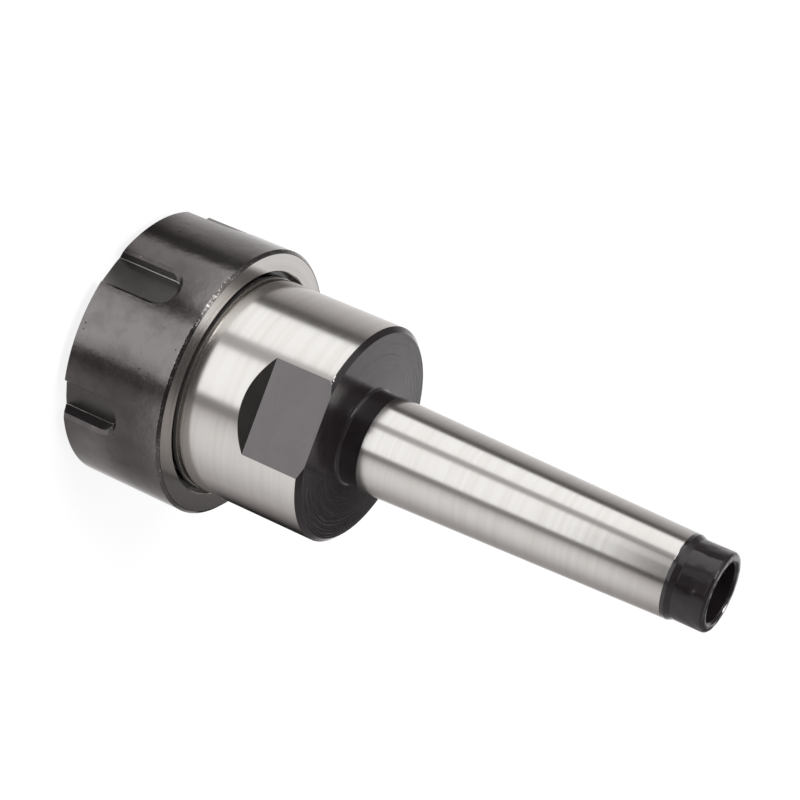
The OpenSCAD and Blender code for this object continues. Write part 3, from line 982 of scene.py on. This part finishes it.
# The floor's tint next to the nut, mirrored by its front end, and round that, mirrored by the rest of it
NUT_STOPS = (
    (-180, 1.0), (-166, 0.8), (-156, 0.55), (-140, 0.52), (-134, 0.24), (-124, 0.26), (-114, 0.85),
    (-104, 1.0), (-90, 1.0), (-78, 0.52),
)
FOOT_RING = (*NUT_STOPS, (-52, 0.45), (-38, 0.6), (-25, 0.9), (-12, 1.0), (180, 1.0))
NEAR_RING = (*NUT_STOPS, (-52, 0.38), (-10, 0.5), (10, 0.8), (25, 1.0), (180, 1.0))
# The floor's tint that the ground body mirrors
BODY_RING = (
    (-180, 1.0), (10, 1.0), (24, 0.6), (34, 0.26), (44, 0.03), (90, 0.03), (100, 1.0), (180, 1.0),
)
# The floor's tint far out, which the black tip mirrors
TIP_RING = (
    (-180, 1.0), (-134, 0.9), (-126, 0.4), (-108, 0.35), (-103, 0.1), (-68, 0.1), (-58, 0.6), (-20, 0.8),
    (180, 1.0),
)
# Radii between which one ring of the floor gives way to the next, with plain white between body and tip
FOOT_TO_NEAR = (33 * MM, 45 * MM)
NEAR_TO_BODY = (54 * MM, 66 * MM)
BODY_TO_WHITE = (115 * MM, 135 * MM)
WHITE_TO_TIP = (385 * MM, 400 * MM)
# Heights on the unit sphere of directions between which one ring of the tent gives way to the next
LOW_TO_HIGH = (-0.05, 0.15)
HIGH_TO_TOP = (0.6, 0.75)
# The strip lamp in the tent: middle and half breadth in degrees, middle and half height, and level
STRIP_TURN, STRIP_HALF_BREADTH = -146, 15
STRIP_HEIGHT, STRIP_HALF_HEIGHT = 0.73, 0.04
STRIP_LEVEL = 8


class SCENE_OT_chuck_stage(bpy.types.Operator):
    """Set the floor, the light and the camera"""

    bl_idname = "scene.chuck_stage"
    bl_label = "Stage"

    def execute(self, context):
        stage = context.scene.chuck_stage
        set_world(context.scene)
        set_floor(stage)
        set_lamp(stage)
        set_camera(stage)
        context.scene.view_settings.view_transform = "Standard"
        return {"FINISHED"}


def set_world(scene):
    """Plain white light. Reflections see a tent instead, with soft boxes, dark flags and a strip lamp."""
    world = bpy.data.worlds.new("studio")
    scene.world = world
    world.use_nodes = True
    tree = world.node_tree
    direction = add_node(tree, "ShaderNodeTexCoord").outputs["Generated"]
    x, y, z = add_node(tree, "ShaderNodeSeparateXYZ", {0: direction}).outputs[:3]
    turn = turn_share(tree, x, y)
    low, high, top = (levels(tree, turn, stops) for stops in (LOW_RING, HIGH_RING, TOP_RING))
    walls = mixed(tree, ranged(tree, z, *LOW_TO_HIGH), low, high)
    tent = mixed(tree, ranged(tree, z, *HIGH_TO_TOP), walls, top)
    across = math(tree, "COMPARE", turn, circle_share(STRIP_TURN), STRIP_HALF_BREADTH / 360)
    strip = math(tree, "MULTIPLY", across, math(tree, "COMPARE", z, STRIP_HEIGHT, STRIP_HALF_HEIGHT))
    tent = mixed(tree, strip, tent, grey(STRIP_LEVEL))
    rays = add_node(tree, "ShaderNodeLightPath").outputs
    seen = mixed(tree, rays["Is Glossy Ray"], grey(1), tent)
    tree.links.new(seen, tree.nodes["Background"].inputs["Color"])


def floor_finish(stage):
    """White to the camera but for the shadow, clear from below, and a tint over the tent in reflections."""
    material = bpy.data.materials.new("pale_floor")
    material.use_nodes = True
    tree = material.node_tree
    tree.nodes.remove(tree.nodes["Principled BSDF"])
    rays = add_node(tree, "ShaderNodeLightPath").outputs
    matt = add_node(tree, "ShaderNodeBsdfDiffuse", {"Color": grey(stage.floor_tone)}).outputs[0]
    white = add_node(tree, "ShaderNodeEmission", {"Color": grey(1), "Strength": 1.0}).outputs[0]
    share_white = math(tree, "MULTIPLY", rays["Is Camera Ray"], stage.floor_white)
    pale = add_node(tree, "ShaderNodeMixShader", {0: share_white, 1: matt, 2: white}).outputs[0]
    back = add_node(tree, "ShaderNodeNewGeometry").outputs["Backfacing"]
    underside = math(tree, "MULTIPLY", back, rays["Is Camera Ray"])
    clear = add_node(tree, "ShaderNodeBsdfTransparent").outputs[0]
    pale = add_node(tree, "ShaderNodeMixShader", {0: underside, 1: pale, 2: clear}).outputs[0]
    place = add_node(tree, "ShaderNodeTexCoord").outputs["Object"]
    x, y, _ = add_node(tree, "ShaderNodeSeparateXYZ", {0: place}).outputs[:3]
    r = add_node(tree, "ShaderNodeVectorMath", {0: place}, operation="LENGTH").outputs["Value"]
    turn = turn_share(tree, x, y)
    rings = (FOOT_RING, NEAR_RING, BODY_RING, TIP_RING)
    foot, near, body, tip = (levels(tree, turn, stops) for stops in rings)
    tint = mixed(tree, ranged(tree, r, *FOOT_TO_NEAR), foot, near)
    tint = mixed(tree, ranged(tree, r, *NEAR_TO_BODY), tint, body)
    tint = mixed(tree, ranged(tree, r, *BODY_TO_WHITE), tint, grey(1))
    tint = mixed(tree, ranged(tree, r, *WHITE_TO_TIP), tint, tip)
    mirrored = add_node(tree, "ShaderNodeBsdfTransparent", {"Color": tint}).outputs[0]
    reflected = math(tree, "MAXIMUM", rays["Is Glossy Ray"], rays["Is Transmission Ray"])
    seen = add_node(tree, "ShaderNodeMixShader", {0: reflected, 1: pale, 2: mirrored}).outputs[0]
    tree.links.new(seen, tree.nodes["Material Output"].inputs["Surface"])
    return material


def set_floor(stage, sides=96):
    """Round floor that faces up, as flat rings down to its hole."""
    angles = np.linspace(0, 2 * np.pi, sides + 1)[:-1]
    radii = np.append(np.array([1, 0.1, 0.02]) * stage.floor_radius, stage.floor_hole)
    points = turned(np.stack([radii, np.zeros(len(radii))], axis=-1), angles)
    faces = cells(len(radii), sides, 0, True)
    mesh = bpy.data.meshes.new("floor")
    mesh.from_pydata(points.reshape(-1, 3).tolist(), [], faces.reshape(-1, 4).tolist())
    mesh.materials.append(floor_finish(stage))
    floor = bpy.data.objects.new("floor", mesh)
    bpy.context.scene.collection.objects.link(floor)


def looking(place, aim, up):
    """Matrix of a thing at a place that looks along aim, with its top towards up."""
    back = -np.array(aim) / np.linalg.norm(aim)
    right = np.cross(up, back)
    right /= np.linalg.norm(right)
    turn = np.stack([right, np.cross(back, right), back, np.array(place)], axis=-1)
    return Matrix(np.vstack([turn, [0, 0, 0, 1]]).tolist())


def set_lamp(stage):
    """One soft lamp above the camera's left, which reflections don't show."""
    light = bpy.data.lights.new("key", "AREA")
    light.shape = "DISK"
    light.size = stage.lamp_size
    light.energy = stage.key_power
    lamp = bpy.data.objects.new("key", light)
    lamp.visible_glossy = False
    bpy.context.scene.collection.objects.link(lamp)
    place = np.array(stage.lamp_place)
    lamp.matrix_world = looking(place, -place, (0, 0, 1))


def set_camera(stage):
    """The camera at the photograph's viewing angle."""
    lens = bpy.data.cameras.new("camera")
    lens.lens = stage.lens
    lens.sensor_width = stage.sensor
    lens.clip_start = 10 * MM
    camera = bpy.data.objects.new("camera", lens)
    bpy.context.scene.collection.objects.link(camera)
    camera.matrix_world = looking(stage.camera_place, stage.camera_aim, stage.camera_up)
    bpy.context.scene.camera = camera


class VIEW3D_PT_chuck(bpy.types.Panel):
    """Lists what builds the chuck, and its sizes"""

    bl_label = "Collet chuck holder"
    bl_idname = "VIEW3D_PT_chuck"
    bl_space_type = "VIEW_3D"
    bl_region_type = "UI"
    bl_category = "Chuck"

    def draw(self, context):
        for operator in OPERATORS:
            self.layout.operator(operator.bl_idname)
        for name, group in GROUPS.items():
            box = self.layout.box()
            for key in group.__annotations__:
                box.prop(getattr(context.scene, name), key)


OPERATORS = (
    MESH_OT_chuck_holder,
    MESH_OT_chuck_nut,
    MESH_OT_chuck_collet,
    MESH_OT_chuck_threads,
    SCENE_OT_chuck_stage,
)
GROUPS = {
    "chuck_holder": HolderSizes,
    "chuck_nut": NutSizes,
    "chuck_threads": ThreadSizes,
    "chuck_wear": WearSpots,
    "chuck_finishes": Finishes,
    "chuck_stage": StageSizes,
}


def register():
    """Makes the sizes, the operators and the panel known to Blender."""
    for name, group in GROUPS.items():
        bpy.utils.register_class(group)
        setattr(bpy.types.Scene, name, PointerProperty(type=group))
    for operator in OPERATORS:
        bpy.utils.register_class(operator)
    bpy.utils.register_class(VIEW3D_PT_chuck)


def unregister():
    """Takes them back out."""
    bpy.utils.unregister_class(VIEW3D_PT_chuck)
    for operator in reversed(OPERATORS):
        bpy.utils.unregister_class(operator)
    for name, group in GROUPS.items():
        delattr(bpy.types.Scene, name)
        bpy.utils.unregister_class(group)


def main():
    """Builds the whole scene."""
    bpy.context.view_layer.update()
    register()
    bpy.ops.mesh.chuck_holder()
    bpy.ops.mesh.chuck_nut()
    bpy.ops.mesh.chuck_collet()
    bpy.ops.mesh.chuck_threads()
    bpy.ops.scene.chuck_stage()


if __name__ == "__main__":
    main()
